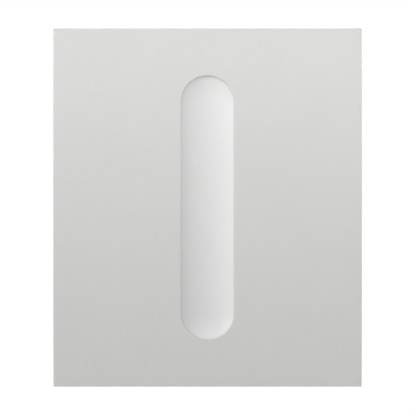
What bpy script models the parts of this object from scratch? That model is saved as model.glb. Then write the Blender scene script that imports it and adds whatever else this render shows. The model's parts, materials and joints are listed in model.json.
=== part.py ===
"""Battery wall touch unit: a palm-size wall panel with a finger groove and light bar down its front.

Two coin cells ride in a drawer in the bottom edge. Magnets hold the unit on a wall plate, and it pulls
straight off. The frame is +Z up, +X to the right seen from the front, and +Y into the wall. The origin is
the middle of the wall plate's back, so a depth below is a distance out from the wall, along -Y.

Sizes are in millimetres, and point() turns them into metres.
"""

import math

import bmesh
import bpy
from mathutils import Vector

MM = 0.001

# The front panel and its finger groove
PANEL_W, PANEL_H = 71.0, 82.5
UNIT_DEPTH = 16.0
PANEL_WALL = 1.6
PANEL_FACE = 2.0  # thickness of the front at its middle
PANEL_EDGE = 0.3  # round on every outer edge
CROWN, CROWN_POWER = 0.8, 4.0  # how far the front falls back to its top and bottom edges, and how late
GROOVE_W, GROOVE_H = 12.0, 60.6
GROOVE_EDGE = 0.3
LIP = 0.7  # thickness of the panel's lip over the diffuser, at its middle
WALL_SHADOW = 0.6  # gap between the panel's skirt and the wall

# Running and assembly gaps
FIT = 0.3
LOOSE = 0.5
CLOSE = 0.1

# Cells, as sold: 24.5 x 5.0 mm
CELL_R, CELL_T = 12.25, 5.0
CELL_X = 12.8

# Layers from the wall outwards
PLATE_T = 2.4
HOUSING_BACK = PLATE_T + FIT
HOUSING_FLOOR = HOUSING_BACK + 1.2
DRAWER_BACK = HOUSING_FLOOR + 0.2
DRAWER_FLOOR = DRAWER_BACK + 0.5
CELL_BACK = DRAWER_FLOOR + CLOSE
CELL_FRONT = CELL_BACK + CELL_T
BOARD_BACK = CELL_FRONT + 0.7
BOARD_FRONT = BOARD_BACK + 0.8
HOUSING_RIM = BOARD_BACK - 0.4
PANEL_INNER = UNIT_DEPTH - PANEL_FACE
DIFFUSER_BACK = BOARD_FRONT + 1.4
FLANGE_FRONT = PANEL_INNER - FIT
SEAT_TOP = UNIT_DEPTH - LIP
COLLAR_TOP = SEAT_TOP - 0.2
DISH_FLOOR = COLLAR_TOP - 1.6

# Outlines
HALF_W, HALF_H = PANEL_W / 2, PANEL_H / 2
POCKET_X, POCKET_Z = HALF_W - PANEL_WALL, HALF_H - PANEL_WALL
HOUSING_X, HOUSING_Z = POCKET_X - FIT, POCKET_Z - FIT
HOUSING_WALL = 1.2
PLATE_X, PLATE_Z = POCKET_X - LOOSE, POCKET_Z - LOOSE
GROOVE_R = GROOVE_W / 2
GROOVE_HALF = GROOVE_H / 2 - GROOVE_R  # half the length of the groove's straight sides
SEAT_R, COLLAR_R, FLANGE_R = GROOVE_R + 1.4, GROOVE_R + 1.0, GROOVE_R + 3.5

# The drawer and its bay
DRAWER_X = CELL_X + CELL_R + 1.15
BAY_X = DRAWER_X + FIT
BAR_X = 31.5  # half the drawer's front bar, wings included
BAR_INNER_Z = -HALF_H + 2.75
CELL_Z = BAR_INNER_Z - 0.5 + 1.0 + CLOSE * 2 + CELL_R
DRAWER_TOP_Z = CELL_Z + CELL_R + 1.1
BAY_TOP_Z = DRAWER_TOP_Z + 0.8
POCKET_R = CELL_R + 0.15
DRAWER_RIM = CELL_FRONT - 0.5
BAR_BACK, BAR_FRONT = HOUSING_BACK + 0.5, BOARD_BACK - 0.5
DRAWER_SCREW_X = 29.0
DRAWER_SCREW_DEPTH = (BAR_BACK + BAR_FRONT) / 2

# Fixings, each a place (x, z)
PANEL_SCREWS = [(-30.2, 36.0), (30.2, 36.0), (-30.2, -31.0), (30.2, -31.0)]
BOARD_SCREWS = [(-26.5, 33.0), (26.5, 33.0)]
MAGNETS = [(-20.0, 18.0), (20.0, 18.0), (-20.0, -4.0), (20.0, -4.0)]
MAGNET_R, MAGNET_T = 4.0, 1.5
KEEPER_Z = {"keeper_strip_top": 18.0, "keeper_strip_bottom": -4.0}
KEEPER_STAKES_X = (-8.0, 8.0)
BOX_SCREW_PITCH = 60.0  # a round wall box's two screws
SCREW_STEPS = 18
LED_PITCH, LED_COUNT = 10.0, 6
PAIR_BUTTON = (0.0, 20.0)
POWER_SLIDER = (0.0, -4.0)

MATERIALS = {  # base colour, metallic, roughness
    "panel_plastic": ((0.60, 0.60, 0.585), 0.0, 0.45),
    "diffuser_plastic": ((0.80, 0.80, 0.80), 0.0, 0.35),
    "housing_plastic": ((0.50, 0.50, 0.49), 0.0, 0.55),
    "plate_plastic": ((0.42, 0.42, 0.41), 0.0, 0.6),
    "white_plastic": ((0.82, 0.82, 0.81), 0.0, 0.4),
    "black_plastic": ((0.02, 0.02, 0.022), 0.0, 0.45),
    "board_green": ((0.02, 0.14, 0.06), 0.0, 0.4),
    "film_amber": ((0.50, 0.24, 0.05), 0.0, 0.35),
    "foam_tape": ((0.75, 0.74, 0.70), 0.0, 0.9),
    "steel": ((0.62, 0.62, 0.62), 1.0, 0.3),
    "nickel": ((0.70, 0.69, 0.66), 1.0, 0.22),
    "cell_metal": ((0.70, 0.69, 0.66), 1.0, 0.3),
    "brass": ((0.72, 0.52, 0.22), 1.0, 0.3),
    "copper": ((0.72, 0.38, 0.22), 1.0, 0.3),
}

BODIES = {  # each moving group's empty, at (x, z, depth) on its joint's axis
    "wall_plate_group": (0, 0, 0),
    "unit_group": (0, 0, HOUSING_BACK),
    "drawer_group": (0, -HALF_H, DRAWER_SCREW_DEPTH),
    "drawer_screw_group": (DRAWER_SCREW_X, -HALF_H, DRAWER_SCREW_DEPTH),
    "pair_button_group": (*PAIR_BUTTON, HOUSING_BACK),
    "power_slider_group": (*POWER_SLIDER, HOUSING_BACK),
}


# ---------------------------------------------------------------- helpers


def point(x, z, depth):
    """A place in the row frame, in metres."""
    return Vector((x, -depth, z)) * MM


def front_depth(z):
    """Depth of the panel's crowned front at a height."""
    return UNIT_DEPTH - CROWN * abs(z / HALF_H) ** CROWN_POWER


def arc(centre_x, centre_z, radius, start, end, steps):
    """Points of an arc from start to end degrees, both ends included."""
    angles = [math.radians(start + (end - start) * i / steps) for i in range(steps + 1)]
    return [(centre_x + radius * math.cos(a), centre_z + radius * math.sin(a)) for a in angles]


def circle(centre, radius, steps=20):
    return arc(centre[0], centre[1], radius, 0, 360, steps)[:-1]


def stadium(radius, half=GROOVE_HALF, steps=14):
    """An upright slot outline: two half rounds joined by straight sides."""
    return arc(0, half, radius, 0, 180, steps) + arc(0, -half, radius, 180, 360, steps)


def rounded_rectangle(x0, x1, z0, z1, radius, steps=4):
    corners = [(x1 - radius, z1 - radius), (x0 + radius, z1 - radius)]
    corners += [(x0 + radius, z0 + radius), (x1 - radius, z0 + radius)]
    outline = []
    for i, (x, z) in enumerate(corners):
        outline += arc(x, z, radius, 90 * i, 90 * i + 90, steps)
    return outline


def mesh_object(name, bm, smooth=None):
    """An object from a bmesh, its faces turned outwards. smooth is the sharp-edge angle in degrees."""
    bmesh.ops.recalc_face_normals(bm, faces=bm.faces)
    mesh = bpy.data.meshes.new(name)
    bm.to_mesh(mesh)
    bm.free()
    if smooth is not None:
        mesh.shade_smooth()
        mesh.set_sharp_from_angle(angle=math.radians(smooth))
    made = bpy.data.objects.new(name, mesh)
    bpy.context.scene.collection.objects.link(made)
    return made


def rings_solid(name, rings, closed=False, smooth=None):
    """A solid through rings of equal length, given as vectors in metres. It is capped at both ends, or is
    joined from its last ring back to its first."""
    bm = bmesh.new()
    loops = [[bm.verts.new(p) for p in ring] for ring in rings]
    pairs = list(zip(loops, loops[1:]))
    if closed:
        pairs.append((loops[-1], loops[0]))
    else:
        bm.faces.new(loops[0])
        bm.faces.new(loops[-1])
    for first, second in pairs:
        for i in range(len(first)):
            j = (i + 1) % len(first)
            bm.faces.new((first[i], first[j], second[j], second[i]))
    return mesh_object(name, bm, smooth)


def prism(name, outline, back, front, smooth=None):
    """An outline of (x, z) points, solid between two depths."""
    return rings_solid(name, [[point(x, z, d) for x, z in outline] for d in (back, front)], smooth=smooth)


def box(name, x0, x1, z0, z1, back, front):
    return prism(name, [(x0, z0), (x1, z0), (x1, z1), (x0, z1)], back, front)


def section(name, outline, x0, x1, smooth=None):
    """An outline of (z, depth) points, solid between two x places."""
    return rings_solid(name, [[point(x, z, d) for z, d in outline] for x in (x0, x1)], smooth=smooth)


def bent_strip(name, path, thickness, x0, x1):
    """Sheet metal or film that follows a path of (z, depth) points, and runs from x0 to x1."""
    sides = ([], [])
    for i, (z, d) in enumerate(path):
        before, after = path[max(i - 1, 0)], path[min(i + 1, len(path) - 1)]
        along = Vector((after[0] - before[0], after[1] - before[1])).normalized()
        for side, sign in zip(sides, (0.5, -0.5)):
            side.append((z - along.y * thickness * sign, d + along.x * thickness * sign))
    return section(name, sides[0] + sides[1][::-1], x0, x1)


def turned(name, profile, steps=32, lobes=None, closed=False, smooth=40):
    """A part turned about its own +Z from (radius, height) points. lobes gives the rings, counted in
    profile order, that take a six-lobe socket's outline."""
    rings = []
    for index, (radius, height) in enumerate(profile):
        ring = []
        for i in range(steps):
            a = math.tau * i / steps
            r = radius * (1 + 0.13 * math.cos(6 * a)) if lobes and index in lobes else radius
            ring.append(Vector((r * math.cos(a), r * math.sin(a), height)) * MM)
        rings.append(ring)
    return rings_solid(name, rings, closed, smooth)


def place(made, x, z, depth, forward=True):
    """Moves a turned part to its place. Its own +Z then points to the front, or stays upright."""
    made.location = point(x, z, depth)
    made.rotation_euler = (math.radians(90), 0, 0) if forward else (0, 0, 0)
    return made


def copy_of(source, name):
    """Another object that shares a mesh."""
    made = bpy.data.objects.new(name, source.data)
    bpy.context.scene.collection.objects.link(made)
    return made


def shape_with(target, operation, *tools):
    """Adds a Boolean for each tool, and leaves the tools out of the render."""
    for tool in tools:
        modifier = target.modifiers.new(tool.name, "BOOLEAN")
        modifier.operation = operation
        modifier.solver = "EXACT"
        modifier.object = tool
        tool.hide_render = True
        tool.display_type = "WIRE"


def cut(target, *tools):
    shape_with(target, "DIFFERENCE", *tools)


def join(target, *tools):
    shape_with(target, "UNION", *tools)


def finish(made, group, material):
    """Gives a part its material and its moving group."""
    made.data.materials.clear()
    made.data.materials.append(bpy.data.materials[material])
    holder = bpy.data.objects[group]
    made.parent = holder
    made.matrix_parent_inverse = holder.matrix_world.inverted()
    return made


def clear_scene():
    for old in list(bpy.data.objects):
        bpy.data.objects.remove(old)


def make_materials():
    for name, (colour, metallic, roughness) in MATERIALS.items():
        material = bpy.data.materials.new(name)
        material.use_nodes = True
        shader = material.node_tree.nodes["Principled BSDF"]
        shader.inputs["Base Color"].default_value = (*colour, 1)
        shader.inputs["Metallic"].default_value = metallic
        shader.inputs["Roughness"].default_value = roughness


def make_groups():
    for name, where in BODIES.items():
        holder = bpy.data.objects.new(name, None)
        bpy.context.scene.collection.objects.link(holder)
        holder.location = point(*where)
    bpy.context.view_layer.update()


# ---------------------------------------------------------------- wall plate


def make_wall_plate():
    """The flat plate that stays on the wall, with slots for a wall box's screws and two plain holes."""
    plate = prism("wall_plate", rounded_rectangle(-PLATE_X, PLATE_X, -PLATE_Z, PLATE_Z, 2.0), 0, PLATE_T)
    slot_z, slot_x = 2.1, 6.0
    for sign in (-1, 1):
        z = sign * BOX_SCREW_PITCH / 2
        head = rounded_rectangle(-slot_x - 2, slot_x + 2, z - 4, z + 4, 3.9)
        slot = rounded_rectangle(-slot_x, slot_x, z - slot_z, z + slot_z, 2.0)
        cut(plate, prism(f"tool_slot_head_{sign}", head, 1.3, PLATE_T + 1))
        cut(plate, prism(f"tool_slot_{sign}", slot, -1, PLATE_T + 1))
        hole = (sign * 24.0, -22.0)
        cut(plate, prism(f"tool_wall_screw_head_{sign}", circle(hole, 3.8), 1.3, PLATE_T + 1))
        cut(plate, prism(f"tool_wall_screw_{sign}", circle(hole, 2.1, 16), -1, PLATE_T + 1))
        tape = rounded_rectangle(sign * 19 - 9, sign * 19 + 9, -15.2, 27.2, 1.0)
        cut(plate, prism(f"tool_tape_{sign}", tape, -1, 0.7))
    for name, z in KEEPER_Z.items():
        seat = rounded_rectangle(-26.3, 26.3, z - 4.8, z + 4.8, 1.3)
        cut(plate, prism(f"tool_seat_{name}", seat, 1.5, PLATE_T + 1))
        for x in KEEPER_STAKES_X:
            join(plate, prism(f"tool_stake_{name}_{x}", circle((x, z), 1.2, 12), 1.0, PLATE_T - 0.05))
    finish(plate, "wall_plate_group", "plate_plastic")


def make_keeper_strips():
    """Steel strips that the unit's magnets pull on, each held by two melted stakes."""
    for name, z in KEEPER_Z.items():
        strip = prism(name, rounded_rectangle(-26, 26, z - 4.5, z + 4.5, 1.0), 1.6, PLATE_T - 0.1)
        for x in KEEPER_STAKES_X:
            cut(strip, prism(f"tool_{name}_{x}", circle((x, z), 1.5, 12), 1, PLATE_T))
        finish(strip, "wall_plate_group", "steel")


def make_tape_pads():
    for name, x in (("tape_pad_left", -19), ("tape_pad_right", 19)):
        pad = prism(name, rounded_rectangle(x - 8.7, x + 8.7, -14.9, 26.9, 0.8), 0, 0.6)
        finish(pad, "wall_plate_group", "foam_tape")


# ---------------------------------------------------------------- front of the unit


def stadium_solid(name, profile, closed=False, follow_crown=False, smooth=None):
    """A solid whose section is given as (radius, depth) points round the groove's middle line. A depth
    counts from the panel's front surface where follow_crown is set."""
    rings = []
    for radius, depth in profile:
        outline = stadium(radius)
        rings.append([point(x, z, depth + (front_depth(z) if follow_crown else 0)) for x, z in outline])
    return rings_solid(name, rings, closed, smooth)


def make_front_panel():
    """The moulded front: a crowned face with a skirt, the groove's opening, bosses and a drawer window."""
    steps = 24
    heights = [-HALF_H + PANEL_H * i / steps for i in range(steps + 1)]
    side = [(-HALF_H, WALL_SHADOW)] + [(z, front_depth(z)) for z in heights] + [(HALF_H, WALL_SHADOW)]
    panel = section("front_panel", side, -HALF_W, HALF_W)
    rounding = panel.modifiers.new("edge_round", "BEVEL")
    rounding.width = PANEL_EDGE * MM
    rounding.segments = 2
    rounding.limit_method = "ANGLE"
    rounding.angle_limit = math.radians(40)

    inside = rounded_rectangle(-POCKET_X, POCKET_X, -POCKET_Z, POCKET_Z, 0.8)
    cut(panel, prism("tool_panel_pocket", inside, -1, PANEL_INNER))
    cut(panel, prism("tool_panel_seat", stadium(SEAT_R), PANEL_INNER - 1, SEAT_TOP))
    for i, where in enumerate(PANEL_SCREWS):
        join(panel, prism(f"tool_panel_boss_{i}", circle(where, 1.95, 16), 5.4, PANEL_INNER + 0.8))
        cut(panel, prism(f"tool_panel_pilot_{i}", circle(where, 1.1, 12), 5, PANEL_INNER - 1))
    for i, where in enumerate(BOARD_SCREWS):
        join(panel, prism(f"tool_post_{i}", circle(where, 1.9, 16), BOARD_FRONT + CLOSE, PANEL_INNER + 0.8))
        cut(panel, prism(f"tool_post_pilot_{i}", circle(where, 1.1, 12), BOARD_FRONT - 1, PANEL_INNER - 0.4))
    turn = [math.radians(a) for a in (0, 30, 60, 90)]
    edge_centre = GROOVE_R + GROOVE_EDGE
    flare = [(edge_centre - GROOVE_EDGE * math.cos(t), GROOVE_EDGE * (math.sin(t) - 1)) for t in turn]
    cut(panel, stadium_solid("tool_groove", [(GROOVE_R, -3)] + flare + [(edge_centre, 1)], follow_crown=True))
    half, low, high = BAR_X + FIT, BAR_BACK - FIT, BAR_FRONT + FIT
    cut(panel, box("tool_window", -half, half, -HALF_H - 1, -POCKET_Z + 1, low, high))
    finish(panel, "unit_group", "panel_plastic")


def make_diffuser():
    """The translucent trough that shows in the groove: a round-bottomed dish with a collar and a flange."""
    mouth = GROOVE_R + 0.1
    rise = COLLAR_TOP - DISH_FLOOR
    bend = (mouth**2 + rise**2) / (2 * rise)
    steps = 8
    radii = [mouth * (1 - i / steps) for i in range(steps)] + [mouth / steps / 3]
    dish = [(r, DISH_FLOOR + bend - math.sqrt(bend**2 - r**2)) for r in radii]
    outside = [(FLANGE_R, DIFFUSER_BACK), (FLANGE_R, FLANGE_FRONT)]
    outside += [(COLLAR_R, FLANGE_FRONT), (COLLAR_R, COLLAR_TOP)]
    diffuser = stadium_solid("groove_diffuser", outside + dish, smooth=30)
    finish(diffuser, "unit_group", "diffuser_plastic")


def make_reflector():
    """The white frame that keeps the lamps' light under the diffuser."""
    back, front = BOARD_FRONT + 0.2, DIFFUSER_BACK - 0.2
    inner, outer = GROOVE_R + 0.4, FLANGE_R - 0.1
    ring = [(outer, back), (outer, front), (inner, front), (inner, back)]
    finish(stadium_solid("light_reflector", ring, closed=True), "unit_group", "white_plastic")


def make_touch_film():
    """The electrode film behind the face, with a tail that turns back to its connector."""
    middle, thickness = PANEL_INNER - 0.3, 0.25
    back, front = middle - thickness / 2, middle + thickness / 2
    film = prism("touch_film", rounded_rectangle(-23, 23, -36, 36, 2.0), back, front)
    cut(film, prism("tool_film_hole", stadium(FLANGE_R + 0.4), back - 1, front + 1))
    loop_z, loop_r = -38.0, 0.8
    loop = arc(loop_z, middle - loop_r, loop_r, 90, 270, 6)
    path = [(-35.2, middle)] + loop + [(-36.9, middle - 2 * loop_r)]
    tail = bent_strip("tool_film_tail", path, thickness, -3, 3)
    join(film, tail)
    finish(film, "unit_group", "film_amber")
    connector = box("film_connector", -4.5, 4.5, -37.6, -34.6, BOARD_FRONT + CLOSE, PANEL_INNER - 1.2)
    cut(connector, box("tool_connector_mouth", -3.4, 3.4, -38, -36.6, PANEL_INNER - 2.2, PANEL_INNER - 1.6))
    finish(connector, "unit_group", "black_plastic")


# ---------------------------------------------------------------- board and what it carries


def make_board():
    outline = rounded_rectangle(-32.4, 32.4, -37.8, 37.8, 1.0)
    board = prism("main_board", outline, BOARD_BACK, BOARD_FRONT)
    room = 2.3  # half the width of the notch round each boss
    for i, (x, z) in enumerate(PANEL_SCREWS):
        side = math.copysign(1, x)
        left, right = sorted((x - side * room, side * HALF_W))
        notch = rounded_rectangle(left, right, z - room, z + room, room - 0.1)
        cut(board, prism(f"tool_board_notch_{i}", notch, BOARD_BACK - 1, BOARD_FRONT + 1))
    for i, where in enumerate(BOARD_SCREWS):
        cut(board, prism(f"tool_board_hole_{i}", circle(where, 1.2, 12), BOARD_BACK - 1, BOARD_FRONT + 1))
    finish(board, "unit_group", "board_green")


def make_leds():
    """Side by side down the groove's middle line, facing the diffuser."""
    for i in range(LED_COUNT):
        z = (i - (LED_COUNT - 1) / 2) * LED_PITCH
        led = box(f"led_{i + 1}", -1.4, 1.4, -1.75, 1.75, 0, 0.7)
        led.location = point(0, z, BOARD_FRONT + 0.05)
        if i:
            led.data = bpy.data.objects["led_1"].data
        finish(led, "unit_group", "white_plastic")


def make_radio():
    """The radio module and its shield, and the sprung coil that is its aerial."""
    back = BOARD_BACK - CLOSE
    board = box("radio_board", -28.0, -12.0, 3.5, 25.5, back - 0.8, back)
    finish(board, "unit_group", "board_green")
    shield = prism("radio_shield", rounded_rectangle(-27, -13, 5, 18, 0.5, 2), back - 2.9, back - 0.9)
    finish(shield, "unit_group", "steel")

    turns, per_turn, radius, pitch, wire = 7, 9, 2.1, 1.5, 0.3
    left, height, depth = -21.0, 33.5, 7.4
    path = [point(left, height, back - 0.05), point(left, height, depth + radius)]
    for i in range(1, turns * per_turn):
        turn = i / per_turn
        z = height + radius * math.sin(math.tau * turn)
        path.append(point(left + pitch * turn, z, depth + radius * math.cos(math.tau * turn)))
    curve = bpy.data.curves.new("antenna_coil", "CURVE")
    curve.dimensions = "3D"
    curve.bevel_depth = wire * MM
    curve.bevel_resolution = 1
    curve.use_fill_caps = True
    spline = curve.splines.new("POLY")
    spline.points.add(len(path) - 1)
    for vertex, where in zip(spline.points, path):
        vertex.co = (*where, 1)
    coil = bpy.data.objects.new("antenna_coil", curve)
    bpy.context.scene.collection.objects.link(coil)
    finish(coil, "unit_group", "copper")


def make_board_parts():
    """Chip, buffer capacitor and sounder, on the board's back."""
    back = BOARD_BACK - 0.05
    finish(box("touch_controller", -5, 1, 5, 11, back - 0.9, back), "unit_group", "black_plastic")

    capacitor = turned("buffer_capacitor", [(3.15, 0), (3.15, 3.9), (2.9, 4.1), (3.15, 4.4), (3.15, 5.2)], 20)
    place(capacitor, 20, 7, back - 5.2)
    finish(capacitor, "unit_group", "steel")

    sounder = turned("sounder", [(0.9, 0.8), (0.9, 0), (6.0, 0), (6.0, 3.1), (5.7, 3.4)], 24)
    place(sounder, 16.5, 30.5, back - 3.4)
    finish(sounder, "unit_group", "black_plastic")


def make_contacts():
    """Leaf springs that press on each cell: one on its cap, and one on the side of its can."""
    for side, x in (("left", -CELL_X), ("right", CELL_X)):
        top = BOARD_BACK - 0.15
        path = [(CELL_Z + 6, top), (CELL_Z + 3.4, top), (CELL_Z + 0.8, CELL_FRONT + 0.2)]
        path += [(CELL_Z - 0.8, CELL_FRONT + 0.2), (CELL_Z - 3, CELL_FRONT + 0.4)]
        leaf = bent_strip(f"cap_contact_{side}", path, 0.15, x - 2, x + 2)
        finish(leaf, "unit_group", "brass")
        edge, stem = CELL_Z + CELL_R, BAY_TOP_Z - 0.35
        middle = (CELL_BACK + CELL_FRONT) / 2
        path = [(edge - 1.2, top), (stem, top), (stem, middle + 1.6), (edge + 0.25, middle)]
        path += [(stem, middle - 1.6), (stem, middle - 2.1)]
        leaf = bent_strip(f"can_contact_{side}", path, 0.2, x - 1.8, x + 1.8)
        finish(leaf, "unit_group", "brass")


def make_switch_bodies():
    """The two small switches behind the pairing button and the power slider."""
    back, x, z = BOARD_BACK - CLOSE, *PAIR_BUTTON
    body = box("pair_switch", x - 3, x + 3, z - 3, z + 3, back - 2.6, back)
    cut(body, prism("tool_pair_switch_well", circle((x, z), 2.1), back - 3, back - 1.2))
    finish(body, "unit_group", "black_plastic")

    x, z = POWER_SLIDER
    body = box("power_switch", x - 4.3, x + 4.3, z - 2.2, z + 2.2, back - 3.4, back)
    slot = box("tool_power_switch_slot", x - 2.5, x + 2.5, z - 1.1, z + 1.1, back - 4, back - 1.4)
    cut(body, slot)
    finish(body, "unit_group", "steel")


# ---------------------------------------------------------------- rear of the unit


def make_rear_housing():
    """The tray behind the board: an electronics bay above, the drawer's bay below, and a column each side."""
    outline = rounded_rectangle(-HOUSING_X, HOUSING_X, -HOUSING_Z, HOUSING_Z, 1.2)
    housing = prism("rear_housing", outline, HOUSING_BACK, HOUSING_RIM)
    wall_x, wall_z = HOUSING_X - HOUSING_WALL, HOUSING_Z - HOUSING_WALL
    floor, over = HOUSING_FLOOR, HOUSING_RIM + 1
    bay_wall_z = BAY_TOP_Z + 1.0
    block_z = -34.6  # top of the blocks that take the drawer's screw
    cut(
        housing,
        prism("tool_bay", rounded_rectangle(-wall_x, wall_x, bay_wall_z, wall_z, 0.8), floor, over),
        box("tool_drawer_bay", -BAY_X, BAY_X, -HOUSING_Z - 1, BAY_TOP_Z, floor, over),
        box("tool_bar_room", -BAR_X - FIT, BAR_X + FIT, -HOUSING_Z - 1, BAR_INNER_Z + 0.4, floor, over),
    )
    for sign in (-1, 1):
        near, far = sorted((sign * (BAY_X + HOUSING_WALL), sign * wall_x))
        cut(housing, box(f"tool_column_{sign}", near, far, block_z, BAY_TOP_Z, floor, over))
    for i, where in enumerate(PANEL_SCREWS):
        join(housing, prism(f"tool_tower_{i}", circle(where, 2.7), floor - 0.5, floor + 1.2))
        cut(housing, prism(f"tool_counterbore_{i}", circle(where, 2.2), HOUSING_BACK - 1, floor + 0.1))
        cut(housing, prism(f"tool_clearance_{i}", circle(where, 1.2, 12), floor - 0.5, floor + 2))
    for i, where in enumerate(MAGNETS):
        join(housing, prism(f"tool_magnet_boss_{i}", circle(where, 5.2, 20), floor - 0.5, floor + 1.4))
        cut(housing, prism(f"tool_magnet_{i}", circle(where, 4.3, 20), HOUSING_BACK - 1, HOUSING_BACK + 1.7))
    join(housing, prism("tool_button_guide", circle(PAIR_BUTTON, 4.0), floor - 0.5, floor + 0.9))
    cut(housing, prism("tool_button_hole", circle(PAIR_BUTTON, 2.8), HOUSING_BACK - 1, floor + 2))
    x, z = POWER_SLIDER
    slot = rounded_rectangle(x - 4.0, x + 4.0, z - 2.1, z + 2.1, 0.5, 2)
    cut(housing, prism("tool_slider_slot", slot, HOUSING_BACK - 1, floor + 2))
    insert_seat = turned("tool_insert_seat", [(1.9, 0), (1.9, 6)], 24, smooth=None)
    place(insert_seat, DRAWER_SCREW_X, -39, DRAWER_SCREW_DEPTH, forward=False)
    cut(housing, insert_seat)
    finish(housing, "unit_group", "housing_plastic")


def make_magnets():
    chamfer = 0.2
    profile = [(MAGNET_R - chamfer, 0), (MAGNET_R, chamfer), (MAGNET_R, MAGNET_T - chamfer)]
    profile += [(MAGNET_R - chamfer, MAGNET_T)]
    for i, (x, z) in enumerate(MAGNETS):
        first = bpy.data.objects.get("magnet_1")
        magnet = copy_of(first, f"magnet_{i + 1}") if first else turned("magnet_1", profile, 20)
        place(magnet, x, z, HOUSING_BACK + 0.05)
        finish(magnet, "unit_group", "nickel")


def screw_profile(head_r, head_h, shank_r, length, socket_r):
    """A pan head with a six-lobe socket, from the socket's floor round to the point. Head first, at 0."""
    return [
        (socket_r, head_h * 0.65),
        (socket_r, 0),
        (head_r * 0.8, 0),
        (head_r, head_h * 0.35),
        (head_r, head_h),
        (shank_r, head_h),
        (shank_r, head_h + length - 0.6),
        (shank_r * 0.4, head_h + length),
    ]


def make_screws():
    """Four screws hold the housing to the panel, and two hold the board."""
    sets = [
        ("housing_screw", PANEL_SCREWS, HOUSING_BACK + 0.1, screw_profile(1.85, 1.1, 0.85, 7.0, 0.85)),
        ("board_screw", BOARD_SCREWS, BOARD_BACK - 1.05, screw_profile(1.8, 1.0, 0.85, 3.0, 0.8)),
    ]
    for kind, places, depth, profile in sets:
        first = turned(f"{kind}_1", profile, SCREW_STEPS, lobes=(0, 1))
        for i, (x, z) in enumerate(places):
            screw = copy_of(first, f"{kind}_{i + 1}") if i else first
            place(screw, x, z, depth)
            finish(screw, "unit_group", "steel")


def make_drawer_insert():
    """The threaded brass insert that the drawer's screw enters."""
    tube = [(1.6, 0), (1.6, 3.0), (1.2, 3.0), (1.2, 0)]
    insert = turned("drawer_insert", tube, 20, closed=True)
    place(insert, DRAWER_SCREW_X, -38.0, DRAWER_SCREW_DEPTH, forward=False)
    finish(insert, "unit_group", "brass")


# ---------------------------------------------------------------- what moves on its own


def make_pair_button():
    """A push button through the housing's back, and the switch stem that it pushes."""
    back = HOUSING_BACK + 0.2
    flange = HOUSING_FLOOR + 1.1
    profile = [(1.9, 0.35), (2.2, 0), (2.5, 0.2), (2.5, flange - back), (3.3, flange - back)]
    profile += [(3.3, flange - back + 0.6), (1.5, flange - back + 0.6), (1.5, 4.3)]
    button = turned("pair_button", profile, 20)
    place(button, *PAIR_BUTTON, back)
    finish(button, "pair_button_group", "white_plastic")
    stem = turned("pair_switch_stem", [(1.7, 0), (1.7, 0.9)], 20)
    place(stem, *PAIR_BUTTON, back + 4.4)
    finish(stem, "pair_button_group", "black_plastic")


def make_power_slider():
    """The slider's cap, ribbed for a fingernail, and its stem."""
    x, z = POWER_SLIDER
    left, right = x - 3.5, x - 3.5 + 5.0
    back = HOUSING_BACK + 0.2
    slider = box("power_slider", left, right, z - 1.7, z + 1.7, back, HOUSING_FLOOR + 1.6)
    ribs = 3
    for i in range(ribs):
        near = left + (right - left) * (i + 1) / (ribs + 1) - 0.25
        cut(slider, box(f"tool_slider_rib_{i}", near, near + 0.5, z - 3, z + 3, back - 1, back + 0.35))
    near = (left + right) / 2 - 0.8
    stem = box("tool_slider_stem", near, near + 1.6, z - 0.7, z + 0.7, HOUSING_FLOOR + 1, BOARD_BACK - 2)
    join(slider, stem)
    finish(slider, "power_slider_group", "black_plastic")


def make_drawer():
    """The battery drawer: a tray with two round wells behind a full-width front bar."""
    rear = -POCKET_Z - 0.05
    drawer = box("battery_drawer", -BAR_X, BAR_X, -HALF_H, rear, BAR_BACK, BAR_FRONT)
    rounding = drawer.modifiers.new("edge_round", "BEVEL")
    rounding.width = 0.2 * MM
    rounding.segments = 2
    bar = box("tool_bar", -BAR_X, BAR_X, rear - 0.6, BAR_INNER_Z, DRAWER_BACK, DRAWER_RIM)
    tray = box("tool_tray", -DRAWER_X, DRAWER_X, rear - 0.5, DRAWER_TOP_Z, DRAWER_BACK, DRAWER_RIM)
    join(drawer, bar, tray)
    for side, x in (("left", -CELL_X), ("right", CELL_X)):
        well = prism(f"tool_well_{side}", circle((x, CELL_Z), POCKET_R, 40), DRAWER_FLOOR, DRAWER_RIM + 1)
        thumb = prism(f"tool_thumb_{side}", circle((x, CELL_Z), 5.0, 24), DRAWER_BACK - 1, DRAWER_FLOOR + 1)
        gap = box(f"tool_contact_gap_{side}", x - 2.6, x + 2.6, DRAWER_TOP_Z - 2, DRAWER_TOP_Z + 1,
                  DRAWER_FLOOR, DRAWER_RIM + 1)
        cut(drawer, well, thumb, gap)
    scoop = turned("tool_scoop", [(9.0, -1.6), (9.0, 1.6)], 40, smooth=None)
    place(scoop, 0, -HALF_H - 7.9, DRAWER_SCREW_DEPTH)
    cut(drawer, scoop)
    head_room = turned("tool_screw_head_room", [(2.15, -1), (2.15, 1.35)], 24, smooth=None)
    shank_room = turned("tool_screw_shank_room", [(1.2, 0), (1.2, 6)], 16, smooth=None)
    for tool in (head_room, shank_room):
        place(tool, DRAWER_SCREW_X, -HALF_H, DRAWER_SCREW_DEPTH, forward=False)
    cut(drawer, head_room, shank_room)
    finish(drawer, "drawer_group", "panel_plastic")


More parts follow.
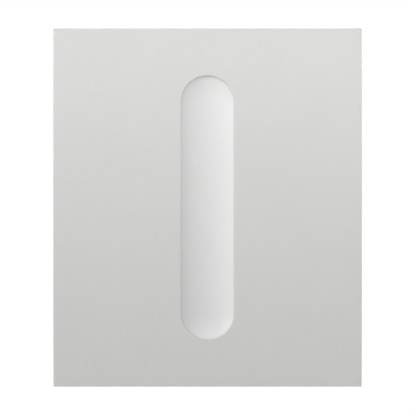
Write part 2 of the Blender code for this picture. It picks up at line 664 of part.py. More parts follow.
def make_cells():
    """Coin cells: a can crimped over a raised cap, which faces the board."""
    top = CELL_T
    profile = [(CELL_R - 0.4, 0), (CELL_R, 0.4), (CELL_R, top - 0.7), (CELL_R - 0.4, top - 0.3)]
    profile += [(CELL_R - 1.1, top - 0.3), (CELL_R - 1.3, top - 0.5), (CELL_R - 1.7, top - 0.4)]
    profile += [(CELL_R - 2.1, top)]
    for side, x in (("left", -CELL_X), ("right", CELL_X)):
        first = bpy.data.objects.get("coin_cell_left")
        cell = copy_of(first, f"coin_cell_{side}") if first else turned("coin_cell_left", profile, 40)
        place(cell, x, CELL_Z, CELL_BACK)
        finish(cell, "drawer_group", "cell_metal")


def make_drawer_screw():
    """The captive screw that locks the drawer."""
    screw = turned("drawer_screw", screw_profile(1.8, 1.1, 0.9, 4.6, 0.85), SCREW_STEPS, lobes=(0, 1))
    place(screw, DRAWER_SCREW_X, -HALF_H + 0.15, DRAWER_SCREW_DEPTH, forward=False)
    finish(screw, "drawer_screw_group", "steel")


def main():
    clear_scene()
    make_materials()
    make_groups()
    make_wall_plate()
    make_keeper_strips()
    make_tape_pads()
    make_front_panel()
    make_diffuser()
    make_reflector()
    make_touch_film()
    make_board()
    make_leds()
    make_radio()
    make_board_parts()
    make_contacts()
    make_switch_bodies()
    make_rear_housing()
    make_magnets()
    make_screws()
    make_drawer_insert()
    make_pair_button()
    make_power_slider()
    make_drawer()
    make_cells()
    make_drawer_screw()


main()
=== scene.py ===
"""Looks of the battery wall touch unit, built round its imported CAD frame.

The frame is +Z up, +X to the right seen from the front, and +Y into the wall, in metres. Lengths below are
in millimetres and depths are distances out from the wall, along -Y, as in the CAD. point() turns them into
metres.
"""

import json
import math

import bmesh
import bpy
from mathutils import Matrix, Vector


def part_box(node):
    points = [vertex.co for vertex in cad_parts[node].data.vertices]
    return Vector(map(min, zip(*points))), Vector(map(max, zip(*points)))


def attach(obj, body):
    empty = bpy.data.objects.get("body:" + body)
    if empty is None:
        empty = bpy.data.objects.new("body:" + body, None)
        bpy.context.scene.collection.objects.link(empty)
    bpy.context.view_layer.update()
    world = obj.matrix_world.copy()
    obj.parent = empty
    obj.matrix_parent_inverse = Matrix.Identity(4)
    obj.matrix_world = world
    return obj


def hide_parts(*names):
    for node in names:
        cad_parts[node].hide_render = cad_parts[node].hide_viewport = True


MM = 0.001

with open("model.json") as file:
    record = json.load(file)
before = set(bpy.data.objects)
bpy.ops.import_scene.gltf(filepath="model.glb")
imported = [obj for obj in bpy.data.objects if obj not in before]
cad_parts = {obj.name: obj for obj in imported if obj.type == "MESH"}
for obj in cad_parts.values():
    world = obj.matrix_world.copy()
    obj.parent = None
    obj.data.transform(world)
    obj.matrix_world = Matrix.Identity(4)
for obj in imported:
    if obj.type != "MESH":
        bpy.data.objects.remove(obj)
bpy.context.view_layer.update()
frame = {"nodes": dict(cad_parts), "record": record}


def limits(node):
    """A CAD node's x, z and depth limits, lowest first."""
    low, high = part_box(node)
    return low.x / MM, high.x / MM, low.z / MM, high.z / MM, -high.y / MM, -low.y / MM


def centre(node):
    """The x and z of a CAD node's middle."""
    x0, x1, z0, z1, _, _ = limits(node)
    return (x0 + x1) / 2, (z0 + z1) / 2


def measures(node):
    """A round CAD node's radius and length, and the x, z and depth where its axis starts."""
    x0, x1, _, _, back, front = limits(node)
    return (x1 - x0) / 2, front - back, (*centre(node), back)


# Camera and light
FRAME_SHARE = 0.7446  # of the picture's width that the front panel fills
LENS_MM, SENSOR_MM = 200.0, 36.0
KEYS = {"key": (50.0, 22.0, 0.656), "key_low": (62.0, 8.0, 0.374)}  # degrees left, degrees up, strength
STRIPS = {"near_strip": (-0.085, 0.055, 0.100), "far_strip": (-0.10, 0.06, 0.190)}  # y, z in metres, watts
STRIP_SIZE = (1.2, 0.03)
KEY_SPREAD = 24.0
GLOW, GLOSS, WHITE = 0.293, 0.5, 1.02
FILL_WATTS = 1.0  # each, from behind the face's plane, so that the front keeps the photo's light
FLOOR_WATTS = 4.8  # from high behind, so that the floor is pale and sends some light back up
FLOOR_Z_MM, FLOOR_R_MM = -250.0, 1600.0

# The front, as in the CAD
_, HALF_W, _, HALF_H, SKIRT_BACK, FACE_TOP = limits("front_panel")
_, FLANGE_R, _, FLANGE_TOP_Z, FLANGE_BACK, COLLAR_TOP = limits("groove_diffuser")
GROOVE_HALF = FLANGE_TOP_Z - FLANGE_R  # half the length of the groove's straight sides
GROOVE_R, SEAT_R, COLLAR_R = 6.0, 7.4, 7.0
EDGE, GROOVE_EDGE = 0.3, 0.3
CROWN, CROWN_POWER = 0.8, 4.0
PANEL_WALL, PANEL_FACE, LIP = 1.6, 2.0, 0.7
PANEL_INNER = FACE_TOP - PANEL_FACE
SEAT_TOP = FACE_TOP - LIP
POCKET_X, POCKET_Z, POCKET_CORNER = HALF_W - PANEL_WALL, HALF_H - PANEL_WALL, 0.8
DISH_DEPTH = 1.6


# ---------------------------------------------------------------- geometry helpers


def point(x, z, depth):
    """A place in the row frame, in metres."""
    return Vector((x, -depth, z)) * MM


def front_depth(z):
    """Depth of the panel's crowned front at a height."""
    return FACE_TOP - CROWN * abs(z / HALF_H) ** CROWN_POWER


def arc(centre_x, centre_z, radius, start, end, steps):
    """Points of an arc from start to end degrees, both ends included."""
    angles = [math.radians(start + (end - start) * i / steps) for i in range(steps + 1)]
    return [(centre_x + radius * math.cos(a), centre_z + radius * math.sin(a)) for a in angles]


def circle(centre, radius, steps=48):
    return arc(centre[0], centre[1], radius, 0, 360, steps)[:-1]


def rounded_rectangle(x0, x1, z0, z1, radius, steps=8):
    corners = [(x1 - radius, z1 - radius), (x0 + radius, z1 - radius)]
    corners += [(x0 + radius, z0 + radius), (x1 - radius, z0 + radius)]
    outline = []
    for i, (x, z) in enumerate(corners):
        outline += arc(x, z, radius, 90 * i, 90 * i + 90, steps)
    return outline


def put(name, data):
    """A new object in the scene."""
    made = bpy.data.objects.new(name, data)
    bpy.context.scene.collection.objects.link(made)
    return made


def make_object(name, bm, smooth=35):
    """An object from a bmesh, its faces turned outwards, smooth up to an angle in degrees."""
    bmesh.ops.recalc_face_normals(bm, faces=bm.faces)
    mesh = bpy.data.meshes.new(name)
    bm.to_mesh(mesh)
    bm.free()
    mesh.shade_smooth()
    mesh.set_sharp_from_angle(angle=math.radians(smooth))
    return put(name, mesh)


def rings_solid(name, rings, closed=False, smooth=35):
    """A solid through rings of equal length, in metres, capped at both ends or joined round."""
    bm = bmesh.new()
    loops = [[bm.verts.new(p) for p in ring] for ring in rings]
    pairs = list(zip(loops, loops[1:]))
    if closed:
        pairs.append((loops[-1], loops[0]))
    else:
        bm.faces.new(loops[0])
        bm.faces.new(loops[-1])
    for first, second in pairs:
        for i in range(len(first)):
            j = (i + 1) % len(first)
            bm.faces.new((first[i], first[j], second[j], second[i]))
    return make_object(name, bm, smooth)


def prism(name, outline, back, front):
    """An outline of (x, z) points, solid between two depths."""
    return rings_solid(name, [[point(x, z, d) for x, z in outline] for d in (back, front)])


def slab(name, node, corner):
    """A plate that fills a CAD node's box, with round corners."""
    x0, x1, z0, z1, back, front = limits(node)
    return prism(name, rounded_rectangle(x0, x1, z0, z1, corner), back, front)


def box(name, x0, x1, z0, z1, back, front):
    return prism(name, [(x0, z0), (x1, z0), (x1, z1), (x0, z1)], back, front)


def cross(name, x, z, reach, half, back, front):
    """Two bars across each other, for a mark or a score."""
    across = box(f"{name}_across", x - reach, x + reach, z - half, z + half, back, front)
    return [across, box(f"{name}_up", x - half, x + half, z - reach, z + reach, back, front)]


def boxes(name, all_limits):
    """Several boxes as one shape, each given as (x0, x1, z0, z1, back, front)."""
    bm = bmesh.new()
    for x0, x1, z0, z1, back, front in all_limits:
        cube = bmesh.ops.create_cube(bm, size=1)["verts"]
        middle = point((x0 + x1) / 2, (z0 + z1) / 2, (back + front) / 2)
        for v in cube:
            v.co = Vector((v.co.x * (x1 - x0), v.co.y * (front - back), v.co.z * (z1 - z0))) * MM + middle
    return make_object(name, bm)


def smooth_profile(corners, radius, steps=4):
    """A profile of (radius, height) corners with each inner corner rounded by up to radius."""
    out = [corners[0]]
    for before, here, after in zip(corners, corners[1:], corners[2:]):
        back, ahead = Vector(before) - Vector(here), Vector(after) - Vector(here)
        reach = min(radius, back.length * 0.45, ahead.length * 0.45)
        start, end = Vector(here) + back.normalized() * reach, Vector(here) + ahead.normalized() * reach
        for i in range(steps + 1):
            t = i / steps
            out.append(tuple(start * (1 - t) ** 2 + Vector(here) * 2 * t * (1 - t) + end * t**2))
    return out + [corners[-1]]


def turned(name, profile, x, z, depth, steps=64, waves=None, forward=True, closed=False):
    """A part turned about an axis from (radius, height) points, its heights counted towards the front, or
    upwards. waves gives (count, share of the radius) for the rings that are lobed or knurled, by number."""
    rings = []
    for index, (radius, height) in enumerate(profile):
        count, share = (waves or {}).get(index, (0, 0.0))
        ring = []
        for i in range(steps):
            a = math.tau * i / steps
            r = radius * (1 + share * math.cos(count * a))
            across, up = r * math.cos(a), r * math.sin(a)
            ring.append(point(x + across, z + up, depth + height) if forward else
                        point(x + across, z + height, depth + up))
        rings.append(ring)
    return rings_solid(name, rings, closed)


def shape_with(target, operation, tools):
    for tool in tools:
        modifier = target.modifiers.new(tool.name, "BOOLEAN")
        modifier.operation = operation
        modifier.solver = "EXACT"
        modifier.object = tool


def soften(made, width, segments=3, angle=38):
    """A fine round along a part's sharp edges."""
    bevel = made.modifiers.new("soften", "BEVEL")
    bevel.width = width * MM
    bevel.segments = segments
    bevel.limit_method = "ANGLE"
    bevel.angle_limit = math.radians(angle)


def evaluated(made):
    """The mesh that an object's modifiers or curve settings make."""
    bpy.context.view_layer.update()
    return bpy.data.meshes.new_from_object(made.evaluated_get(bpy.context.evaluated_depsgraph_get()))


def applied(made):
    """The mesh that a part's modifiers make, in place of its own."""
    mesh = evaluated(made)
    made.modifiers.clear()
    made.data = mesh
    return mesh


def settle(made, smooth=35):
    """Applies a part's modifiers, deletes the shapes that they used, and keeps its flat faces flat."""
    tools = [m.object for m in made.modifiers if m.type == "BOOLEAN"]
    mesh = applied(made)
    mesh.shade_smooth()
    mesh.set_sharp_from_angle(angle=math.radians(smooth))
    for tool in tools:
        bpy.data.objects.remove(tool)
    return made


def flatten(made):
    """Lets a part's large faces set the normals that they share with fine rounds."""
    weighting = made.modifiers.new("weighting", "WEIGHTED_NORMAL")
    weighting.keep_sharp = True
    applied(made)


def shaped(base, add=(), cut=(), round_by=0.0, first=()):
    """base joined with the shapes in add, less those in first, before them, and in cut, after them."""
    shape_with(base, "DIFFERENCE", first)
    shape_with(base, "UNION", add)
    shape_with(base, "DIFFERENCE", cut)
    settle(base)
    if round_by:
        soften(base, round_by)
        settle(base)
    return base


def wear(made, slot, *nodes, body="unit", look=None):
    """Gives a piece the look of its slot, or the look given, parents it to its body, and hides the CAD nodes
    that it stands for.
    """
    flatten(made)
    made.data.materials.clear()
    made.data.materials.append(look or LOOKS[slot])
    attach(made, body)
    if nodes:
        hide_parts(*nodes)
    return made


def fine_copy(node, name, round_by, add=(), cut=()):
    """A copy of a CAD node's shape with its flat faces merged, joined and cut, and its edges rounded."""
    bm = bmesh.new()
    bm.from_mesh(frame["nodes"][node].data)
    bmesh.ops.remove_doubles(bm, verts=bm.verts, dist=1e-7)
    flat = math.radians(1)
    bmesh.ops.dissolve_limit(bm, angle_limit=flat, verts=bm.verts, edges=bm.edges)
    made = make_object(name, bm)
    return shaped(made, add=add, cut=cut, round_by=round_by)


def dress(node, material):
    """A CAD node keeps its shape and takes a better material."""
    made = frame["nodes"][node]
    made.data.materials.clear()
    made.data.materials.append(material)


# ---------------------------------------------------------------- materials


class Look:
    """A Principled material in the making. Its patterns are sized in millimetres on the object."""

    def __init__(self, name, colour, roughness, metallic=0.0, **sockets):
        self.material = bpy.data.materials.new(name)
        self.material.use_nodes = True
        self.tree = self.material.node_tree
        self.shader = self.tree.nodes["Principled BSDF"]
        self.colour = (*colour, 1.0)
        self.shader.inputs["Base Color"].default_value = self.colour
        self.shader.inputs["Roughness"].default_value = roughness
        self.shader.inputs["Metallic"].default_value = metallic
        for socket, value in sockets.items():
            self.shader.inputs[socket.replace("_", " ")].default_value = value
        self.where = self.node("ShaderNodeTexCoord").outputs["Object"]

    def node(self, kind, inputs=None, **settings):
        made = self.tree.nodes.new(kind)
        for key, value in settings.items():
            setattr(made, key, value)
        for key, value in (inputs or {}).items():
            if isinstance(value, bpy.types.NodeSocket):
                self.tree.links.new(value, made.inputs[key])
            else:
                made.inputs[key].default_value = value
        return made

    def stretched(self, sx, sy, sz):
        """Coordinates scaled along each axis, for brushed and drawn marks."""
        return self.node("ShaderNodeMapping", {"Vector": self.where, "Scale": (sx, sy, sz)}).outputs[0]

    def noise(self, size, detail=2.0, where=None):
        """Noise with features of about this size."""
        inputs = {"Vector": where or self.where, "Scale": 1 / (size * MM), "Detail": detail}
        return self.node("ShaderNodeTexNoise", inputs).outputs["Fac"]

    def speckle(self, size, where=None):
        inputs = {"Vector": where or self.where, "Scale": 1 / (size * MM)}
        return self.node("ShaderNodeTexVoronoi", inputs).outputs["Distance"]

    def ramp(self, value, low, high, out_low=0.0, out_high=1.0):
        inputs = {"Value": value, "From Min": low, "From Max": high, "To Min": out_low, "To Max": out_high}
        return self.node("ShaderNodeMapRange", inputs).outputs[0]

    def maths(self, operation, a, b=0.0):
        return self.node("ShaderNodeMath", {0: a, 1: b}, operation=operation).outputs[0]

    def axes(self):
        """The object's x, y and z, in metres."""
        return self.node("ShaderNodeSeparateXYZ", {"Vector": self.where}).outputs

    def paint(self, share, other):
        """Mixes another colour in where share is 1."""
        base = self.shader.inputs["Base Color"]
        under = base.links[0].from_socket if base.links else self.colour
        mix = self.node("ShaderNodeMix", {0: share, 6: under, 7: (*other, 1.0)}, data_type="RGBA")
        self.tree.links.new(mix.outputs[2], base)
        return self

    def mottle(self, size, amount):
        """Slow changes of lightness, up to amount."""
        darker = [c * (1 - amount) for c in self.colour[:3]]
        return self.paint(self.ramp(self.noise(size), 0.35, 0.65), darker)

    def roughen(self, size, low, high, where=None):
        value = self.ramp(self.noise(size, 3.0, where), 0.3, 0.7, low, high)
        self.tree.links.new(value, self.shader.inputs["Roughness"])
        return self

    def bump(self, height, depth):
        """Adds a relief of this depth to the surface."""
        normal = self.shader.inputs["Normal"]
        inputs = {"Height": height, "Distance": depth * MM, "Strength": 1.0}
        if normal.links:
            inputs["Normal"] = normal.links[0].from_socket
        made = self.node("ShaderNodeBump", inputs)
        self.tree.links.new(made.outputs[0], normal)
        return self


def moulded(name, colour, roughness, grain=0.22, relief=0.004, **sockets):
    """Spark-textured moulded plastic: a fine grain over a slow orange peel."""
    look = Look(name, colour, roughness, **sockets)
    look.mottle(14.0, 0.012)
    look.roughen(1.6, roughness - 0.04, roughness + 0.05)
    look.bump(look.noise(4.0, 1.0), relief * 2)
    look.bump(look.noise(grain, 3.0), relief)
    return look.material


def metal(name, colour, roughness, stretch=(1, 1, 1), grain=0.25, relief=0.0006):
    """Metal with a drawn or brushed grain along the axis that is stretched least."""
    look = Look(name, colour, roughness, metallic=1.0)
    drawn = look.stretched(*stretch)
    look.mottle(2.5, 0.04)
    look.roughen(grain, roughness - 0.04, roughness + 0.08, drawn)
    look.bump(look.noise(grain, 4.0, drawn), relief)
    return look.material


def solder_mask(name, dark, light):
    """A board's coating, with straight copper runs and round vias showing through as paler lines."""
    look = Look(name, dark, 0.32, Coat_Weight=0.5, Coat_Roughness=0.12)
    x, _, z = look.axes()
    run_pitch, run_share = 1.27 * MM, 0.30
    weave = look.noise(9.0, 0.0)
    runs = []
    for axis in (x, z):
        cell = look.maths("FRACT", look.maths("DIVIDE", axis, run_pitch))
        runs.append(look.maths("LESS_THAN", cell, run_share))
    across = look.maths("MULTIPLY", runs[0], look.maths("GREATER_THAN", weave, 0.54))
    along = look.maths("MULTIPLY", runs[1], look.maths("LESS_THAN", weave, 0.44))
    traces = look.maths("ADD", across, along)
    vias = look.maths("LESS_THAN", look.speckle(3.1), 0.10)
    look.paint(traces, light)
    look.paint(vias, [c * 0.5 for c in light])
    look.bump(traces, 0.03)
    look.bump(look.noise(0.8), 0.004)
    return look.material


def electrode_film(name, amber, copper):
    """Polyimide film with a diamond net of copper electrodes under it."""
    look = Look(name, amber, 0.28, Coat_Weight=0.3)
    x, _, z = look.axes()
    pitch, line = 4.6 * MM, 0.07
    lines = []
    for operation in ("ADD", "SUBTRACT"):
        cell = look.maths("FRACT", look.maths("DIVIDE", look.maths(operation, x, z), pitch))
        lines.append(look.maths("LESS_THAN", cell, line))
    net = look.maths("MAXIMUM", *lines)
    look.paint(look.maths("SUBTRACT", 1.0, net), copper)
    look.mottle(5.0, 0.15)
    look.bump(net, 0.02)
    return look.material


def foam_liner(name, colour):
    """The tape's paper liner, faintly ribbed."""
    look = Look(name, colour, 0.5)
    x, _, z = look.axes()
    stripe = look.maths("FRACT", look.maths("DIVIDE", look.maths("ADD", x, z), 6.0 * MM))
    look.paint(look.maths("LESS_THAN", stripe, 0.12), [c * 0.86 for c in colour])
    look.mottle(3.0, 0.05)
    look.bump(look.noise(0.35, 4.0), 0.02)
    return look.material


def translucent(name, colour):
    """The diffuser's opal plastic, satin, with light scattering a little way in."""
    look = Look(name, colour, 0.34, Subsurface_Weight=0.22, Subsurface_Scale=0.0018)
    look.shader.inputs["Subsurface Radius"].default_value = (1.0, 0.98, 0.94)
    look.mottle(11.0, 0.008)
    look.roughen(1.2, 0.30, 0.38)
    look.bump(look.noise(0.3, 3.0), 0.0015)
    return look.material


LOOKS = {
    "panel_plastic": moulded("panel_plastic_look", (0.665, 0.665, 0.648), 0.46),
    "diffuser_plastic": translucent("diffuser_plastic_look", (0.80, 0.80, 0.795)),
    "housing_plastic": moulded("housing_plastic_look", (0.52, 0.52, 0.505), 0.52, 0.3, 0.006),
    "plate_plastic": moulded("plate_plastic_look", (0.44, 0.44, 0.43), 0.56, 0.4, 0.010),
    "white_plastic": moulded("white_plastic_look", (0.80, 0.80, 0.78), 0.38, 0.2, 0.002),
    "black_plastic": moulded("black_plastic_look", (0.022, 0.022, 0.024), 0.42, 0.25, 0.006),
    "board_green": solder_mask("board_green_look", (0.012, 0.105, 0.045), (0.022, 0.175, 0.078)),
    "film_amber": electrode_film("film_amber_look", (0.34, 0.15, 0.03), (0.62, 0.33, 0.12)),
    "foam_tape": foam_liner("foam_tape_look", (0.72, 0.71, 0.66)),
    "steel": metal("steel_look", (0.58, 0.585, 0.59), 0.28, (0.15, 1, 1)),
    "nickel": metal("nickel_look", (0.70, 0.69, 0.665), 0.20, (1, 1, 1), 0.5, 0.0004),
    "cell_metal": metal("cell_metal_look", (0.66, 0.655, 0.64), 0.26, (1, 1, 1), 0.35, 0.0006),
    "brass": metal("brass_look", (0.76, 0.56, 0.26), 0.24, (1, 1, 0.15)),
    "copper": metal("copper_look", (0.78, 0.40, 0.25), 0.22, (1, 1, 1), 0.3, 0.0004),
}
FOAM = moulded("foam_core_look", (0.55, 0.55, 0.53), 0.8, 0.12, 0.03)
GASKET = moulded("cell_gasket_look", (0.05, 0.05, 0.052), 0.5, 0.2, 0.002)
PHOSPHOR = Look("led_phosphor_look", (0.86, 0.66, 0.16), 0.25).mottle(0.4, 0.1).material
TIN = metal("solder_tin_look", (0.74, 0.74, 0.73), 0.28, (1, 1, 1), 0.2, 0.001)
CERAMIC = moulded("chip_capacitor_look", (0.42, 0.30, 0.19), 0.4, 0.1, 0.002)


# ---------------------------------------------------------------- front panel and groove


def rays(coarse, straights):
    """The spokes that every ring round the groove is drawn on, as (start height, direction x, direction z).
    They fan out from the centres of the two half rounds, with more of them at the panel's corners, and run
    level from the straight sides."""
    corner_angles, corner_steps = [], 6
    for half_x, half_z, radius in ((HALF_W, HALF_H, EDGE), (POCKET_X, POCKET_Z, POCKET_CORNER)):
        first = math.atan2(half_z - radius - GROOVE_HALF, half_x)
        last = math.atan2(half_z - GROOVE_HALF, half_x - radius)
        corner_angles += [first + (last - first) * i / corner_steps for i in range(corner_steps + 1)]
    quarter = sorted({math.pi / 2 * i / coarse for i in range(coarse + 1)} | set(corner_angles))
    half = quarter + [math.pi - a for a in reversed(quarter[:-1])]
    spokes = [(GROOVE_HALF, math.cos(a), math.sin(a)) for a in half]
    heights = [GROOVE_HALF * (1 - 2 * i / straights) for i in range(1, straights)]
    spokes += [(z, -1.0, 0.0) for z in heights]
    spokes += [(-GROOVE_HALF, -math.cos(a), -math.sin(a)) for a in half]
    spokes += [(-z, 1.0, 0.0) for z in heights]
    return spokes


def on_stadium(spoke, radius):
    z, across, up = spoke
    return radius * across, z + radius * up


def on_rectangle(spoke, half_x, half_z, corner):
    """Where a spoke meets a rectangle with rounded corners."""
    start, across, up = spoke
    reach_x = half_x / abs(across) if abs(across) > 1e-9 else math.inf
    reach_z = (half_z - abs(start)) / abs(up) if abs(up) > 1e-9 else math.inf
    reach = min(reach_x, reach_z)
    x, z = reach * across, start + reach * up
    if corner > 0 and abs(x) > half_x - corner and abs(z) > half_z - corner:
        centre = Vector((math.copysign(half_x - corner, x), math.copysign(half_z - corner, z)))
        away = Vector((0, start)) - centre
        along = Vector((across, up))
        half_b = away.dot(along)
        reach = -half_b + math.sqrt(max(half_b**2 - away.length_squared + corner**2, 0))
        x, z = reach * across, start + reach * up
    return x, z


def ring_at(places, depth):
    """A ring through (x, z) places. depth is a number, or a function of height."""
    return [point(x, z, depth(z) if callable(depth) else depth) for x, z in places]


def outer_ring(spokes, inset, depth):
    """A ring of the panel's outline, drawn in by inset."""
    return ring_at([on_rectangle(s, HALF_W - inset, HALF_H - inset, EDGE - inset) for s in spokes], depth)


def pocket_ring(spokes, inset, depth):
    half_x, half_z, corner = POCKET_X + inset, POCKET_Z + inset, POCKET_CORNER + inset
    return ring_at([on_rectangle(s, half_x, half_z, corner) for s in spokes], depth)


def groove_ring(spokes, radius, depth):
    return ring_at([on_stadium(s, radius) for s in spokes], depth)


def face_ring(spokes, share):
    """A ring of the crowned face, between the outer edge's round and the groove's."""
    places = []
    for spoke in spokes:
        outer = Vector(on_rectangle(spoke, HALF_W - EDGE, HALF_H - EDGE, 0))
        places.append(outer.lerp(Vector(on_stadium(spoke, GROOVE_R + GROOVE_EDGE)), share))
    return ring_at(places, front_depth)


def make_front_panel():
    """The moulded front, drawn as rings: up the skirt, over the edge, across the crowned face, down the
    groove's wall, under its lip and back along the inside."""
    spokes = rays(24, 32)
    back_edge, edge_steps, face_steps = 0.12, 5, 12
    turn = [math.pi / 2 * i / edge_steps for i in range(edge_steps + 1)]
    rings = [outer_ring(spokes, back_edge, SKIRT_BACK), outer_ring(spokes, 0, SKIRT_BACK + back_edge)]
    rings.append(outer_ring(spokes, 0, (SKIRT_BACK + FACE_TOP) / 2))
    for t in turn:
        inset, drop = EDGE * (1 - math.cos(t)), EDGE * (1 - math.sin(t))
        rings.append(outer_ring(spokes, inset, lambda z, drop=drop: front_depth(z) - drop))
    rings += [face_ring(spokes, i / face_steps) for i in range(1, face_steps)]
    for t in turn:
        radius, drop = GROOVE_R + GROOVE_EDGE * (1 - math.sin(t)), GROOVE_EDGE * (1 - math.cos(t))
        rings.append(groove_ring(spokes, radius, lambda z, drop=drop: front_depth(z) - drop))
    rings += [groove_ring(spokes, r, d) for r, d in ((GROOVE_R, SEAT_TOP), (SEAT_R, SEAT_TOP))]
    rings.append(groove_ring(spokes, SEAT_R, PANEL_INNER))
    rings += [pocket_ring(spokes, 0, PANEL_INNER), pocket_ring(spokes, 0, SKIRT_BACK + back_edge)]
    rings.append(pocket_ring(spokes, back_edge, SKIRT_BACK))
    panel = rings_solid("front_panel_shell", rings, closed=True)

    add, cut = [], []
    boss_back, board_front, root, pilot_r = 5.4, limits("main_board")[5], PANEL_INNER + 0.8, 1.1
    for i in range(1, 5):
        where = centre(f"housing_screw_{i}")
        add.append(prism(f"boss_{i}", circle(where, 1.95, 40), boss_back, root))
        cut.append(prism(f"boss_pilot_{i}", circle(where, pilot_r, 24), 5, PANEL_INNER - 1))
    for i in range(1, 3):
        where = centre(f"board_screw_{i}")
        add.append(prism(f"post_{i}", circle(where, 1.9, 40), board_front + 0.1, root))
        cut.append(prism(f"post_pilot_{i}", circle(where, pilot_r, 24), board_front - 1, PANEL_INNER - 0.4))
    x0, x1, _, _, _, _ = limits("battery_drawer")
    gap, bar_back, bar_front = 0.3, 3.2, 9.9
    window = rounded_rectangle(x0 - gap, x1 + gap, bar_back - gap, bar_front + gap, 0.35)
    rings = [[point(x, z, d) for x, d in window] for z in (-HALF_H - 1, -POCKET_Z + 1)]
    cut.append(rings_solid("drawer_window", rings))
    shaped(panel, add=add, cut=cut)
    wear(panel, "panel_plastic", "front_panel")


def make_diffuser():
    """The opal trough: a flange and collar under the panel's lip, and a round-bottomed dish."""
    spokes = rays(24, 24)
    mouth, rise = GROOVE_R + 0.1, DISH_DEPTH
    bend = (mouth**2 + rise**2) / (2 * rise)
    floor = COLLAR_TOP - rise
    steps = 20
    radii = [mouth * (1 - i / steps) for i in range(steps)] + [0.05]
    dish = [(r, floor + bend - math.sqrt(bend**2 - r**2)) for r in radii]
    flange_front = PANEL_INNER - 0.3
    outside = [
        (FLANGE_R - 0.15, FLANGE_BACK), (FLANGE_R, FLANGE_BACK + 0.15), (FLANGE_R, flange_front - 0.1),
        (FLANGE_R - 0.1, flange_front), (COLLAR_R, flange_front), (COLLAR_R, COLLAR_TOP - 0.1),
        (COLLAR_R - 0.1, COLLAR_TOP),
    ]
    rings = [groove_ring(spokes, r, d) for r, d in outside + dish]
    diffuser = rings_solid("groove_diffuser_trough", rings, smooth=25)
    wear(diffuser, "diffuser_plastic", "groove_diffuser")


# ---------------------------------------------------------------- wall plate


KEEPERS = ("keeper_strip_top", "keeper_strip_bottom")
STAKE_X = 8.0  # the two plastic stakes that hold each keeper strip


def make_wall_plate():
    """The plate on the wall, with its slots, holes, tape recesses, seats, stakes and a moulded up arrow."""
    front = limits("wall_plate")[5]
    plate = slab("wall_plate_moulding", "wall_plate", 2.0)
    through, head_floor = front + 1, 1.3
    cut = []
    for sign in (-1, 1):
        z, slot_x, slot_z = sign * 30.0, 6.0, 2.1
        head = rounded_rectangle(-slot_x - 2, slot_x + 2, z - 4, z + 4, 3.9, 16)
        slot = rounded_rectangle(-slot_x, slot_x, z - slot_z, z + slot_z, 2.05, 12)
        hole = (sign * 24.0, -22.0)
        tape = rounded_rectangle(sign * 19 - 9, sign * 19 + 9, -15.2, 27.2, 1.0)
        cut += [
            prism(f"slot_head_{sign}", head, head_floor, through),
            prism(f"slot_{sign}", slot, -1, through),
            prism(f"wall_hole_head_{sign}", circle(hole, 3.8), head_floor, through),
            prism(f"wall_hole_{sign}", circle(hole, 2.1, 32), -1, through),
            prism(f"tape_recess_{sign}", tape, -1, 0.7),
        ]
    gap = 0.3
    for name in KEEPERS:
        x0, x1, z0, z1, _, _ = limits(name)
        seat = rounded_rectangle(x0 - gap, x1 + gap, z0 - gap, z1 + gap, 1.3)
        cut.append(prism(f"seat_{name}", seat, 1.5, through))
    arrow = [(0, 21.0), (-3.4, 16.6), (-1.2, 16.6), (-1.2, 10.0), (1.2, 10.0), (1.2, 16.6), (3.4, 16.6)]
    cut.append(prism("up_arrow", arrow, -1, 0.25))
    pitch, half, depth = 5.4, 2.25, 0.6
    taken = [(-9, 9, 25, 35), (-9, 9, -35, -25), (-28.5, -9.7, -15.7, 27.7), (9.7, 28.5, -15.7, 27.7)]
    taken += [(-28.3, -19.7, -26.3, -17.7), (19.7, 28.3, -26.3, -17.7), (-5, 5, 8, 23)]
    pockets = []
    for column in range(-5, 6):
        for row in range(-6, 7):
            x, z = column * pitch, row * pitch
            if not any(a - half < x < b + half and c - half < z < d + half for a, b, c, d in taken):
                pockets.append((x - half, x + half, z - half, z + half, -1, depth))
    cut.append(boxes("waffle", pockets))
    shaped(plate, cut=cut)
    stakes = []
    for name in KEEPERS:
        for x in (-STAKE_X, STAKE_X):
            where = x, centre(name)[1]
            stakes.append(prism(f"stake_{name}_{x}", circle(where, 1.2, 24), 1.0, front - 0.05))
    shaped(plate, add=stakes, round_by=0.12)
    wear(plate, "plate_plastic", "wall_plate", body="wall_plate")


def make_tape_pads():
    """Foam tape under a paper liner, which is slit across its middle so that it peels."""
    for side in ("left", "right"):
        x0, x1, z0, z1, back, front = limits(f"tape_pad_{side}")
        liner_front, slit, middle = back + 0.12, 0.12, (z0 + z1) / 2
        outline = rounded_rectangle(x0 + 0.05, x1 - 0.05, z0 + 0.05, z1 - 0.05, 0.8)
        pad = prism(f"tape_pad_{side}_foam", outline, liner_front, front)
        wear(pad, "foam_tape", f"tape_pad_{side}", body="wall_plate", look=FOAM)
        slope = 0.6
        cut = [(x0 - 1, middle - slope), (x1 + 1, middle + slope), (x1 + 1, middle + slope + slit)]
        cut.append((x0 - 1, middle - slope + slit))
        liner = prism(f"tape_pad_{side}_liner", rounded_rectangle(x0, x1, z0, z1, 0.8), back, liner_front)
        shaped(liner, cut=[prism(f"liner_slit_{side}", cut, -1, 1)])
        wear(liner, "foam_tape", body="wall_plate")


def make_keeper_strips():
    for name in KEEPERS:
        strip = slab(f"{name}_steel", name, 1.0)
        places = [(x, centre(name)[1]) for x in (-STAKE_X, STAKE_X)]
        holes = [prism(f"{name}_hole", circle(where, 1.5, 40), 1, 4) for where in places]
        shaped(strip, cut=holes, round_by=0.06)
        wear(strip, "steel", name, body="wall_plate")


# ---------------------------------------------------------------- drawer and cells


